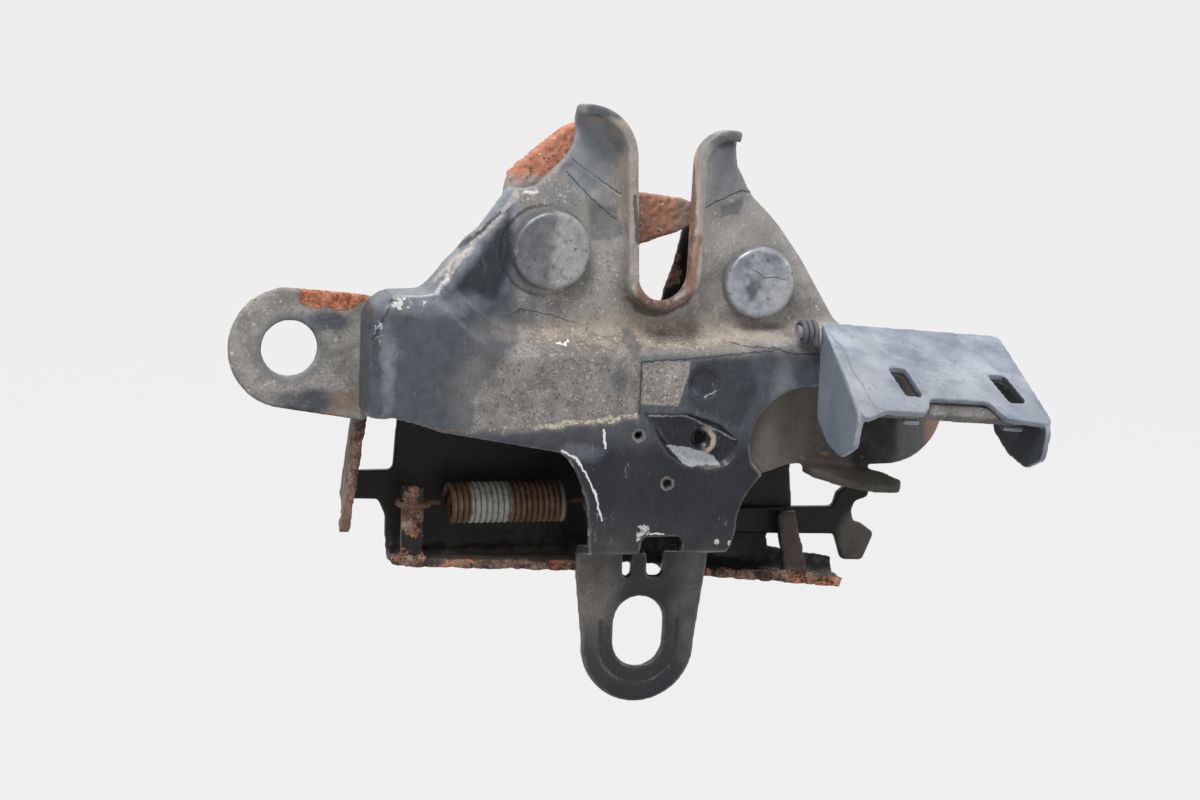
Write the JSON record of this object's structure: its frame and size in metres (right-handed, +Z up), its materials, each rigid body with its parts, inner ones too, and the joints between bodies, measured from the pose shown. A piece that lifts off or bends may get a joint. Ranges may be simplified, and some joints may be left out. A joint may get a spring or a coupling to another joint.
{
  "type": "bonnet latch",
  "caption": "Pressed steel bonnet latch: claw beside a striker slot, pawl with tension spring, safety handle with plastic cover, bolt tab and two ears.",
  "frame": {"origin": "on the back face of the lower bolt tab, straight below the striker slot, between the tab's oblong hole and its lower end", "axes": "+Z up along the striker slot, +Y back through the latch, +X to the right as seen from the front"},
  "size_m": [0.1796, 0.056, 0.1398],
  "materials": {
    "black_paint": "worn satin black paint with grey-brown dust",
    "rusty_steel": "black paint gone brown with rust",
    "brown_steel": "dusty brown painted steel with rust",
    "rivet_steel": "dull dark steel",
    "spring_steel": "rusty spring wire with a white paint mark",
    "orange_rust": "orange rust",
    "blue_grey_plastic": "blue-grey worn plastic"
  },
  "bodies": {
    "frame": {"front_plate": "black_paint", "rear_plate": "rusty_steel", "left_ear_bracket": "brown_steel", "right_ear_bracket": "brown_steel", "cable_bracket": "rusty_steel", "claw_rivet": "rivet_steel", "pawl_rivet": "rivet_steel", "claw_spacer": "rivet_steel", "lever_washer": "rivet_steel", "claw_spring": "spring_steel", "pawl_spring": "spring_steel"},
    "claw_body": {"claw": "orange_rust"},
    "pawl_body": {"pawl": "rusty_steel"},
    "handle_body": {"handle_lever": "rusty_steel", "handle_cover": "blue_grey_plastic", "handle_spring_pin": "rivet_steel", "handle_spring": "spring_steel"}
  },
  "joints": [
    {"name": "claw_pivot", "type": "hinge", "parent": "frame", "child": "claw_body", "pos_m": [-0.025, -0.0037, 0.10282], "axis": [0, 1, 0], "range_deg": [0, 58], "stiffness_Nm_per_rad": 0.05, "springref_deg": -57.3, "deforming": ["claw_spring"]},
    {"name": "pawl_pivot", "type": "hinge", "parent": "frame", "child": "pawl_body", "pos_m": [0.0239, -0.0037, 0.09602], "axis": [0, 1, 0], "range_deg": [-12, 0], "stiffness_Nm_per_rad": 0.6, "springref_deg": 28.65, "deforming": ["pawl_spring"]},
    {"name": "handle_pivot", "type": "hinge", "parent": "frame", "child": "handle_body", "pos_m": [0.0239, -0.00015, 0.09602], "axis": [0, 1, 0], "range_deg": [-20, 0], "stiffness_Nm_per_rad": 0.1, "springref_deg": 51.57, "deforming": ["handle_spring"]}
  ]
}
